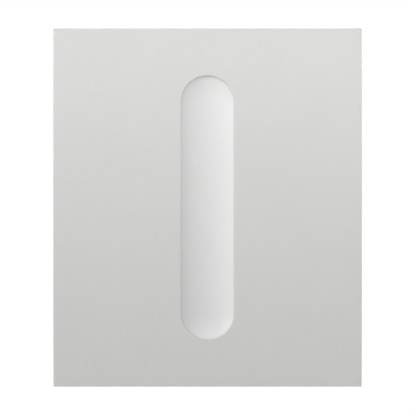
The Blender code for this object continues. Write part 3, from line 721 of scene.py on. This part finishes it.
def make_drawer():
    """The drawer: a front bar, a tray with two wells, polarity marks and the screw's room."""
    x0, x1, z0, z1, back, front = limits("battery_drawer")
    cell_x, cell_z = centre("coin_cell_right")
    rear, bar_top = z0 + 1.55, z0 + 2.75
    tray_back, floor, rim = 4.1, 4.6, 9.2
    tray_x = cell_x + 12.25 + 1.15
    bar = box("battery_drawer_moulding", x0, x1, z0, rear, back, front)
    soften(bar, 0.22, 4)
    settle(bar)
    add = [
        box("bar_rear", x0, x1, rear - 0.6, bar_top, tray_back, rim),
        prism("tray", rounded_rectangle(-tray_x, tray_x, rear - 0.5, z1, 0.5), tray_back, rim),
    ]
    cut = []
    for x in (-cell_x, cell_x):
        cut += [
            prism(f"well_{x}", circle((x, cell_z), 12.4, 96), floor, rim + 1),
            prism(f"thumb_{x}", circle((x, cell_z), 5.0, 64), tray_back - 1, floor + 1),
            box(f"contact_gap_{x}", x - 2.6, x + 2.6, z1 - 2, z1 + 1, floor, rim + 1),
        ] + cross(f"plus_{x}", x, cell_z - 7.75, 1.0, 0.25, floor - 0.2, floor + 1)
    depth = (back + front) / 2
    screw_x, _ = centre("drawer_screw")
    cut.append(turned("scoop", [(9.0, -1.6), (9.0, 1.6)], 0, z0 - 7.9, depth, 160))
    cut.append(turned("head_room", [(2.15, -1), (2.15, 1.35)], screw_x, z0, depth, 48, forward=False))
    cut.append(turned("shank_room", [(1.2, 0), (1.2, 6)], screw_x, z0, depth, 32, forward=False))
    shaped(bar, add=add, cut=cut, round_by=0.07)
    wear(bar, "panel_plastic", "battery_drawer", body="drawer")


def make_cells():
    """Coin cells: the can with a mark on its base, the gasket ring and the raised cap."""
    for side in ("left", "right"):
        r, top, start = measures(f"coin_cell_{side}")
        x, z, back = start
        mouth = r - 1.15
        corners = [(0.5, 0.0), (r, 0), (r, top - 0.3)]
        corners += [(mouth, top - 0.3), (mouth, top - 1.2), (0.5, top - 1.2)]
        can = turned(f"coin_cell_{side}_can", smooth_profile(corners, 0.35, 5), *start, 96)
        shaped(can, cut=cross(f"mark_{side}", x, z, 1.6, 0.3, back - 1, back + 0.08))
        wear(can, "cell_metal", f"coin_cell_{side}", body="drawer")
        ring = [(r - 1.17, top - 1.1), (r - 1.17, top - 0.42), (r - 1.75, top - 0.42), (r - 1.75, top - 1.1)]
        gasket = turned(f"coin_cell_{side}_gasket", ring, *start, 96, closed=True)
        wear(gasket, "black_plastic", body="drawer", look=GASKET)
        corners = [(0.5, top - 1.1), (r - 1.78, top - 1.1), (r - 1.9, top - 0.2), (r - 2.4, top)]
        corners += [(r - 4.2, top), (r - 4.3, top - 0.06), (r - 4.6, top - 0.06), (r - 4.7, top), (0.5, top)]
        cap = turned(f"coin_cell_{side}_cap", smooth_profile(corners, 0.2, 4), *start, 96)
        wear(cap, "cell_metal", body="drawer", look=LOOKS["nickel"])


def screw_profile(head_r, head_h, shank_r, length, socket_r):
    """A pan head with a socket, from the socket's floor round to the point, with a cut thread."""
    head = [(socket_r + 0.1, 0.0), (head_r * 0.8, 0.0), (head_r, head_h * 0.35), (head_r, head_h)]
    head = smooth_profile(head + [(shank_r, head_h)], 0.25, 3)
    profile = [(socket_r, head_h * 0.65), (socket_r, 0.0)] + head
    pitch, point_length, root_r = 0.4, 0.6, shank_r * 0.84
    height = head_h + 0.3
    while height < head_h + length - point_length - pitch:
        profile += [(root_r, height), (shank_r, height + pitch * 0.4), (shank_r, height + pitch * 0.5)]
        height += pitch
    return profile + [(root_r, head_h + length - point_length), (shank_r * 0.4, head_h + length)]


SOCKET = {0: (6, 0.13), 1: (6, 0.13)}  # a six-lobe socket, on a screw's first two rings


def make_screws():
    """Six-lobe screws with a turned thread. Each keeps its CAD node's head, shank and length."""
    sets = [(f"housing_screw_{i}", "unit", (1.85, 1.1, 0.85, 7.0, 0.85)) for i in range(1, 5)]
    sets += [(f"board_screw_{i}", "unit", (1.8, 1.0, 0.85, 3.0, 0.8)) for i in range(1, 3)]
    sets.append(("drawer_screw", "drawer_screw", (1.8, 1.1, 0.9, 4.6, 0.85)))
    for node, body, sizes in sets:
        _, _, bottom, _, back, front = limits(node)
        x, z = centre(node)
        forward = body == "unit"  # the drawer's screw points up instead
        start = (x, z, back) if forward else (x, bottom, (back + front) / 2)
        screw = turned(f"{node}_steel", screw_profile(*sizes), *start, 48, SOCKET, forward)
        wear(screw, "steel", node, body=body)


# ---------------------------------------------------------------- inside of the unit


def make_light_parts():
    """The reflector with its sloped inner wall and clip tabs, and the lamps with their yellow windows."""
    spokes = rays(24, 24)
    _, outer, _, _, back, front = limits("light_reflector")
    inner, slope = GROOVE_R + 0.4, 0.45
    profile = [(outer - 0.1, back), (outer, back + 0.1), (outer, front - 0.1), (outer - 0.1, front)]
    profile += [(inner + slope + 0.1, front), (inner + slope, front - 0.1), (inner, back + 0.05)]
    rings = [groove_ring(spokes, r, d) for r, d in profile]
    reflector = rings_solid("light_reflector_frame", rings, closed=True, smooth=30)
    notches = []
    for z in (-20, -10, 0, 10, 20):
        for sign in (-1, 1):
            near, far = sorted((sign * (outer - 0.5), sign * (outer + 1)))
            notches.append((near, far, z - 1.0, z + 1.0, back + 0.35, front + 1))
    shaped(reflector, cut=[boxes("reflector_notches", notches)])
    wear(reflector, "white_plastic", "light_reflector")
    for i in range(1, 7):
        x0, x1, z0, z1, back, front = limits(f"led_{i}")
        lamp = box(f"led_{i}_body", x0 + 0.12, x1 - 0.12, z0, z1, back, front)
        well = rounded_rectangle(-0.95, 0.95, z0 + 0.6, z1 - 0.6, 0.3)
        shaped(lamp, cut=[prism(f"led_{i}_well", well, front - 0.25, 20)], round_by=0.05)
        wear(lamp, "white_plastic", f"led_{i}")
        window = rounded_rectangle(-0.93, 0.93, z0 + 0.62, z1 - 0.62, 0.3)
        phosphor = prism(f"led_{i}_phosphor", window, front - 0.24, front - 0.06)
        wear(phosphor, "white_plastic", look=PHOSPHOR)
        ends = [(x0, x1, a, b, back, back + 0.25) for a, b in ((z0 + 0.35, z0 + 1.1), (z1 - 1.1, z1 - 0.35))]
        wear(boxes(f"led_{i}_leads", ends), "white_plastic", look=TIN)


def make_board():
    """The main board with its notches and holes, ringed in copper, and its rows of small parts."""
    _, _, _, _, back, front = limits("main_board")
    board = slab("main_board_laminate", "main_board", 1.0)
    room, cut, rings = 2.3, [], []
    for i in range(1, 5):
        x, z = centre(f"housing_screw_{i}")
        side = math.copysign(1, x)
        left, right = sorted((x - side * room, side * HALF_W))
        notch = rounded_rectangle(left, right, z - room, z + room, room - 0.1)
        cut.append(prism(f"board_notch_{i}", notch, back - 1, front + 1))
    for i in range(1, 3):
        where = centre(f"board_screw_{i}")
        cut.append(prism(f"board_hole_{i}", circle(where, 1.2, 32), back - 1, front + 1))
        ring = [(1.25, 0), (2.3, 0), (2.3, 0.04), (1.25, 0.04)]
        rings.append(turned(f"board_ring_{i}", ring, *where, front, 48, closed=True))
    shaped(board, cut=cut)
    wear(board, "board_green", "main_board")
    for ring in rings:
        wear(ring, "copper", look=TIN)

    bodies, ends = [], []
    sizes, rim = ((2.0, 1.25, 0.85), (1.6, 0.8, 0.5), (1.0, 0.5, 0.35)), 0.02
    rows = [(12.5, z, front, 1) for z in range(-26, 31, 4)]
    rows += [(-12.5, z, front, 1) for z in range(-24, 29, 4)]
    rows += [(17.5, z, front, 1) for z in (-22, -16, -10, 20, 24)]
    rows += [(x, -7.5, back, -1) for x in range(-26, 27, 4)]
    rows += [(x, 27.5, back, -1) for x in (-8, -4, 0, 4)]
    for number, (x, z, face, way) in enumerate(rows):
        long, wide, tall = sizes[number % 3]
        near, far = sorted((face, face + way * tall))
        bodies.append((x - long * 0.3, x + long * 0.3, z - wide / 2 + rim, z + wide / 2 - rim, near, far))
        for sign in (-1, 1):
            left, right = sorted((x + sign * long * 0.3, x + sign * long * 0.5))
            ends.append((left, right, z - wide / 2, z + wide / 2, near, far))
    ceramic = shaped(boxes("board_ceramics", bodies), round_by=0.04)
    wear(ceramic, "black_plastic", look=CERAMIC)
    wear(shaped(boxes("board_ceramic_ends", ends), round_by=0.04), "steel", look=TIN)


def make_chip():
    """The touch controller: a moulded body with a first-pin dimple, and leads along all four sides."""
    x0, x1, z0, z1, back, front = limits("touch_controller")
    rim, pitch, lead = 0.55, 0.62, 0.26
    body = box("touch_controller_body", x0 + rim, x1 - rim, z0 + rim, z1 - rim, back, front - 0.12)
    dimple = prism("first_pin", circle((x0 + rim + 0.8, z1 - rim - 0.8), 0.3, 24), back - 1, back + 0.08)
    shaped(body, cut=[dimple], round_by=0.08)
    wear(body, "black_plastic", "touch_controller")
    x, z = centre("touch_controller")
    leads = []
    for i in range(-3, 4):
        for a, b in ((x0, x0 + rim + 0.1), (x1 - rim - 0.1, x1)):
            leads.append((a, b, z + i * pitch - lead / 2, z + i * pitch + lead / 2, front - 0.18, front))
        for a, b in ((z0, z0 + rim + 0.1), (z1 - rim - 0.1, z1)):
            leads.append((x + i * pitch - lead / 2, x + i * pitch + lead / 2, a, b, front - 0.18, front))
    wear(boxes("touch_controller_leads", leads), "steel", look=TIN)


def make_connector():
    """The film's connector: a body with a mouth, a flip latch and a row of tinned feet."""
    x0, _, _, top, back, front = limits("film_connector")
    pitch, count = 0.6, 13
    ribs, feet = [], []
    for i in range(count):
        ribs.append((x0 + 0.8 + i * pitch, x0 + 1.0 + i * pitch, top - 0.9, top + 1, front - 0.3, front + 1))
        feet.append((x0 + 0.85 + i * pitch, x0 + 1.15 + i * pitch, top - 0.1, top + 0.5, back, back + 0.2))
    body = fine_copy("film_connector", "film_connector_body", 0.06, cut=[boxes("connector_ribs", ribs)])
    wear(body, "black_plastic", "film_connector")
    wear(boxes("film_connector_feet", feet), "steel", look=TIN)


def join_all(parts, name):
    """Several shapes as one."""
    bm = bmesh.new()
    for part in parts:
        bm.from_mesh(part.data)
        bpy.data.objects.remove(part)
    return make_object(name, bm)


def make_radio_board():
    """The radio's board, its edges scalloped through a row of tinned half holes on each side."""
    x0, x1, z0, z1, back, front = limits("radio_board")
    board = box("radio_board_laminate", x0, x1, z0, z1, back, front)
    places = [(x, z0 + 1.5 + 1.27 * i) for x in (x0, x1) for i in range(16)]
    scallops = [prism(f"scallop_{i}", circle(where, 0.35, 20), 0, 20) for i, where in enumerate(places)]
    shaped(board, cut=scallops)
    wear(board, "board_green", "radio_board")
    pads = [turned(f"pad_{i}", [(0.35, 0), (0.46, 0), (0.46, 0.03), (0.35, 0.03)], x, z, back - 0.03, 20,
                   closed=True) for i, (x, z) in enumerate(places)]
    edge = 0.02
    trim = boxes("pad_trim", [(x0 - 2, x0 + edge, z0, z1, 0, 20), (x1 - edge, x1 + 2, z0, z1, 0, 20)])
    joined = join_all(pads, "radio_board_pads")
    shaped(joined, cut=[trim])
    wear(joined, "copper", look=TIN)


def make_radio_shield():
    """The drawn can over the radio, with vent holes and cut feet."""
    x0, x1, z0, _, back, front = limits("radio_shield")
    shield = slab("radio_shield_can", "radio_shield", 0.5)
    soften(shield, 0.28, 4)
    settle(shield)
    holes = []
    for i in range(5):
        for j in range(4):
            where = (x0 + 3 + 2 * i, z0 + 3.5 + 2 * j)
            holes.append(prism(f"vent_{i}_{j}", circle(where, 0.35, 20), back - 1, back + 0.2))
    feet = [(x0 - 1, x1 + 1, z0 + 1 + 3 * i, z0 + 1.8 + 3 * i, front - 0.35, front + 1) for i in range(4)]
    shaped(shield, cut=holes + [boxes("shield_feet", feet)])
    wear(shield, "steel", "radio_shield")


def make_aerial():
    """The radio's coil aerial, wound from one wire whose foot stands on the board."""
    x0, _, z0, z1, back, front = limits("antenna_coil")
    wire, turns, per_turn, pitch = 0.3, 7, 32, 1.5
    radius, depth, left, height = (z1 - z0) / 2 - wire, back + (z1 - z0) / 2, x0 + wire, (z0 + z1) / 2
    path = [point(left, height, front), point(left, height, depth + radius)]
    for i in range(1, turns * per_turn - per_turn // 9):
        turn = i / per_turn
        z = height + radius * math.sin(math.tau * turn)
        path.append(point(left + pitch * turn, z, depth + radius * math.cos(math.tau * turn)))
    curve = bpy.data.curves.new("antenna_coil_wire", "CURVE")
    curve.dimensions = "3D"
    curve.bevel_depth, curve.bevel_resolution, curve.use_fill_caps = wire * MM, 4, True
    spline = curve.splines.new("POLY")
    spline.points.add(len(path) - 1)
    for vertex, where in zip(spline.points, path):
        vertex.co = (*where, 1)
    wound = put("antenna_coil_path", curve)
    mesh = evaluated(wound)
    bpy.data.objects.remove(wound)
    mesh.shade_smooth()
    wear(put("antenna_coil_wire", mesh), "copper", "antenna_coil")


def make_capacitor():
    """The buffer capacitor, with its rolled groove, its scored end and its rubber foot."""
    r, tall, start = measures("buffer_capacitor")
    x, z, back = start
    corners = [(0.4, 0.15), (r * 0.72, 0.15), (r * 0.8, 0), (r, 0), (r, tall - 1.3), (r - 0.25, tall - 1.1)]
    corners += [(r, tall - 0.8), (r, tall - 0.45)]
    can = turned("buffer_capacitor_can", smooth_profile(corners, 0.25), *start, 64)
    shaped(can, cut=cross("vent_score", x, z, 1.8, 0.06, back - 1, back + 0.22))
    wear(can, "steel", "buffer_capacitor")
    corners = [(r, tall - 0.45), (r - 0.02, tall), (0.3, tall)]
    wear(turned("buffer_capacitor_foot", corners, *start, 64), "black_plastic")


def make_sounder():
    """The sounder's case, with a raised rim and a port in its middle."""
    r, tall, start = measures("sounder")
    corners = [(0.9, 0.8), (0.9, 0), (1.5, 0), (1.6, 0.12), (r - 0.9, 0.12), (r - 0.8, 0), (r, 0)]
    corners += [(r, tall - 0.5), (r - 0.15, tall - 0.45), (r - 0.15, tall - 0.1), (r - 0.3, tall)]
    case = turned("sounder_case", smooth_profile(corners, 0.15), *start, 96)
    wear(case, "black_plastic", "sounder")


def make_contacts():
    """The CAD's leaf springs, with their edges broken."""
    for side in ("left", "right"):
        for node, round_by in ((f"cap_contact_{side}", 0.03), (f"can_contact_{side}", 0.04)):
            wear(fine_copy(node, f"{node}_leaf", round_by), "brass", node)


def make_switches():
    """The pairing switch with its pressed cover and the power switch with its folded tabs."""
    x0, x1, z0, z1, back, _ = limits("pair_switch")
    body = fine_copy("pair_switch", "pair_switch_body", 0.1)
    wear(body, "black_plastic", "pair_switch")
    x, z = centre("pair_switch")
    inset = 0.25
    outline = rounded_rectangle(x0 + inset, x1 - inset, z0 + inset, z1 - inset, 0.4)
    cover = prism("pair_switch_cover", outline, back - 0.12, back - 0.01)
    hole = [prism("pair_cover_hole", circle((x, z), 2.2, 48), 0, 20)]
    places = [(x + a * 2.2, z + b * 2.2) for a in (-1, 1) for b in (-1, 1)]
    hole += [prism(f"pair_cover_stake_{i}", circle(where, 0.3, 20), 0, 20) for i, where in enumerate(places)]
    wear(shaped(cover, cut=hole), "steel")

    x0, x1, _, _, back, front = limits("power_switch")
    tabs = [(a, b, -4.5, -3.5, back + 0.6, front) for a, b in ((x0 - 1, x0 + 0.15), (x1 - 0.15, x1 + 1))]
    body = fine_copy("power_switch", "power_switch_shell", 0.12, cut=[boxes("power_switch_tabs", tabs)])
    wear(body, "steel", "power_switch")


def make_rear_housing():
    """The tray behind the board, as in the CAD, with finer rounds and some ribs across its floor."""
    _, x1, bottom, z1, back, rim = limits("rear_housing")
    wall, floor, over = 1.2, back + 1.2, rim + 1
    wall_x, wall_z = x1 - wall, z1 - wall
    _, bar_x, _, drawer_top, _, _ = limits("battery_drawer")
    bar_x, bay_top = bar_x + 0.3, drawer_top + 0.8
    bay_x = limits("coin_cell_right")[1] + 1.15 + 0.3
    housing = slab("rear_housing_tray", "rear_housing", 1.2)
    first = [
        prism("bay", rounded_rectangle(-wall_x, wall_x, bay_top + 1.0, wall_z, 0.8), floor, over),
        box("drawer_bay", -bay_x, bay_x, bottom - 1, bay_top, floor, over),
        box("bar_room", -bar_x, bar_x, bottom - 1, -HALF_H + 2.75 + 0.4, floor, over),
    ]
    for sign in (-1, 1):
        near, far = sorted((sign * (bay_x + wall), sign * wall_x))
        first.append(box(f"column_{sign}", near, far, -34.6, bay_top, floor, over))
    add, cut = [], []
    for i in range(1, 5):
        where = centre(f"housing_screw_{i}")
        add.append(prism(f"tower_{i}", circle(where, 2.7), floor - 0.5, floor + 1.2))
        cut.append(prism(f"counterbore_{i}", circle(where, 2.2), back - 1, floor + 0.1))
        cut.append(prism(f"clearance_{i}", circle(where, 1.2, 32), floor - 0.5, floor + 2))
        where = centre(f"magnet_{i}")
        add.append(prism(f"magnet_boss_{i}", circle(where, 5.2, 64), floor - 0.5, floor + 1.4))
        cut.append(prism(f"magnet_seat_{i}", circle(where, 4.3, 64), back - 1, back + 1.7))
    button = centre("pair_button")
    add.append(prism("button_guide", circle(button, 4.0), floor - 0.5, floor + 0.9))
    cut.append(prism("button_hole", circle(button, 2.8), back - 1, floor + 2))
    cut.append(prism("slider_slot", rounded_rectangle(-4, 4, -6.1, -1.9, 0.5), back - 1, floor + 2))
    _, _, insert_z, _, insert_back, insert_front = limits("drawer_insert")
    x, depth, seat = centre("drawer_insert")[0], (insert_back + insert_front) / 2, [(1.9, 0), (1.9, 6)]
    cut.append(turned("insert_seat", seat, x, insert_z - 1, depth, 48, forward=False))
    ribs = [(-wall_x, wall_x, z - 0.35, z + 0.35, floor - 0.2, floor + 0.45) for z in (11.0, 28.0)]
    add.append(boxes("floor_ribs", ribs))
    grips = [(x, x + 0.5, 34.0, 37.5, back - 1, back + 0.25) for x in range(-14, 15, 2)]
    cut.append(boxes("rear_grips", grips))
    shaped(housing, first=first, add=add, cut=cut, round_by=0.06)
    wear(housing, "housing_plastic", "rear_housing")


def make_magnets():
    for i in range(1, 5):
        r, tall, start = measures(f"magnet_{i}")
        profile = smooth_profile([(0.3, 0), (r, 0), (r, tall), (0.3, tall)], 0.25, 4)
        wear(turned(f"magnet_{i}_disc", profile, *start, 64), "nickel", f"magnet_{i}")


def make_insert():
    """A knurled brass insert with a plain band round its middle."""
    x0, x1, z0, z1, back, front = limits("drawer_insert")
    r, tall = (x1 - x0) / 2, z1 - z0
    bore, crest, band = 1.2, r - 0.03, r - 0.2
    profile = [(bore, tall - 0.1), (bore + 0.1, tall), (r - 0.1, tall), (crest, tall - 0.15)]
    profile += [(crest, tall - 1.1), (band, tall - 1.2), (band, 1.2), (crest, 1.1)]
    profile += [(crest, 0.15), (r - 0.1, 0), (bore + 0.1, 0), (bore, 0.1)]
    knurl = {i: (24, 0.02) for i in (3, 4, 7, 8)}
    place = ((x0 + x1) / 2, z0, (back + front) / 2)
    insert = turned("drawer_insert_brass", profile, *place, 96, knurl, forward=False, closed=True)
    wear(insert, "brass", "drawer_insert")


def make_controls():
    """The pairing button with its dished cap, its stem, and the power slider with its ribs."""
    flange_r, tall, start = measures("pair_button")
    cap_r, dish_r, steps = 2.5, 1.9, 6
    flange = 5.0 - start[2]
    shares = [1 - i / steps for i in range(steps)]
    dish = [(dish_r * share, 0.35 * (1 - share**2) + 0.1) for share in shares]
    corners = [(dish_r, 0.1), (2.0, 0), (cap_r, 0), (cap_r, flange), (flange_r, flange)]
    corners += [(flange_r, flange + 0.6), (1.5, flange + 0.6), (1.5, tall)]
    profile = list(reversed(dish))[:-1] + smooth_profile(corners, 0.2)
    button = turned("pair_button_cap", profile, *start, 64)
    wear(button, "white_plastic", "pair_button", body="pair_button")
    r, tall, start = measures("pair_switch_stem")
    profile = smooth_profile([(0.3, 0), (r, 0), (r, tall), (0.3, tall)], 0.15)
    stem = turned("pair_switch_plunger", profile, *start, 48)
    wear(stem, "black_plastic", "pair_switch_stem", body="pair_button")

    slider = fine_copy("power_slider", "power_slider_cap", 0.1)
    wear(slider, "black_plastic", "power_slider", body="power_slider")


# ---------------------------------------------------------------- scene


def look_at(made, place, target):
    made.location = place
    made.rotation_mode = "QUATERNION"
    made.rotation_quaternion = (Vector(target) - Vector(place)).to_track_quat("-Z", "Y")


def make_camera():
    """Straight at the face, with a long lens, so that the panel fills its share of the picture."""
    data = bpy.data.cameras.new("camera")
    data.lens, data.sensor_width = LENS_MM, SENSOR_MM
    camera = put("camera", data)
    distance = 2 * HALF_W * MM / FRAME_SHARE * LENS_MM / SENSOR_MM
    look_at(camera, (0, -FACE_TOP * MM - distance, 0), (0, 0, 0))
    bpy.context.scene.camera = camera


def make_area(name, place, target, width, height, watts):
    data = bpy.data.lights.new(name, "AREA")
    data.shape, data.size, data.size_y, data.energy = "RECTANGLE", width, height, watts
    lamp = put(name, data)
    lamp.visible_camera = False
    look_at(lamp, place, target)


def make_lights():
    """Two soft keys from the left, long strips above the front, and fills for the floor, sides and back."""
    for name, (side, rise, strength) in KEYS.items():
        data = bpy.data.lights.new(name, "SUN")
        data.angle, data.energy = math.radians(KEY_SPREAD), strength
        turn, rise = math.radians(side), math.radians(rise)
        level = math.cos(rise)
        place = (-math.sin(turn) * level, -math.cos(turn) * level, math.sin(rise))
        look_at(put(name, data), place, (0, 0, 0))
    for name, (y, z, watts) in STRIPS.items():
        make_area(name, (0, y, z), (0, -FACE_TOP * MM, 0), *STRIP_SIZE, watts)
    make_area("right_fill", (0.60, 0.05, 0.10), (0, 0, 0), 0.5, 0.5, FILL_WATTS)
    make_area("floor_fill", (0.0, 0.35, 0.90), (0, 0.15, FLOOR_Z_MM * MM), 0.6, 0.6, FLOOR_WATTS)
    make_area("back_fill", (0.35, 0.60, 0.25), (0, 0, 0), 0.6, 0.6, FILL_WATTS * 1.6)
    make_area("back_left_fill", (-0.60, 0.35, 0.0), (0, 0, 0), 0.6, 0.6, FILL_WATTS)


def make_world():
    """A plain white studio: white to the camera, bright in reflections, and a faint glow on the object."""
    world = bpy.data.worlds.new("studio")
    bpy.context.scene.world = world
    world.use_nodes = True
    nodes, links = world.node_tree.nodes, world.node_tree.links
    rays_seen = nodes.new("ShaderNodeLightPath").outputs
    glow = nodes["Background"]
    glow.inputs["Color"].default_value = (1, 1, 1, 1)
    glow.inputs["Strength"].default_value = GLOW
    under = glow.outputs[0]
    for kind, strength in (("Is Glossy Ray", GLOSS), ("Is Camera Ray", WHITE)):
        shade = nodes.new("ShaderNodeBackground")
        shade.inputs["Color"].default_value = (1, 1, 1, 1)
        shade.inputs["Strength"].default_value = strength
        mix = nodes.new("ShaderNodeMixShader")
        links.new(rays_seen[kind], mix.inputs[0])
        links.new(under, mix.inputs[1])
        links.new(shade.outputs[0], mix.inputs[2])
        under = mix.outputs[0]
    links.new(under, nodes["World Output"].inputs["Surface"])


def make_floor():
    bm = bmesh.new()
    bmesh.ops.create_circle(bm, cap_ends=True, segments=96, radius=FLOOR_R_MM * MM)
    floor = make_object("floor", bm)
    floor.location = (0, 0, FLOOR_Z_MM * MM)
    look = Look("floor_look", (0.92, 0.92, 0.92), 0.7)
    look.mottle(60.0, 0.01)
    floor.data.materials.append(look.material)


def main():
    bpy.context.scene.view_settings.view_transform = "Standard"
    make_camera()
    make_lights()
    make_world()
    make_floor()
    slot_of = {row["node"]: row["material_slot"] for row in frame["record"]["subparts"]}
    for node, slot in slot_of.items():
        dress(node, LOOKS[slot])
    make_front_panel()
    make_diffuser()
    make_wall_plate()
    make_tape_pads()
    make_keeper_strips()
    make_light_parts()
    make_board()
    make_chip()
    make_connector()
    make_radio_board()
    make_radio_shield()
    make_aerial()
    make_capacitor()
    make_sounder()
    make_contacts()
    make_switches()
    make_rear_housing()
    make_magnets()
    make_insert()
    make_controls()
    make_drawer()
    make_cells()
    make_screws()


main()
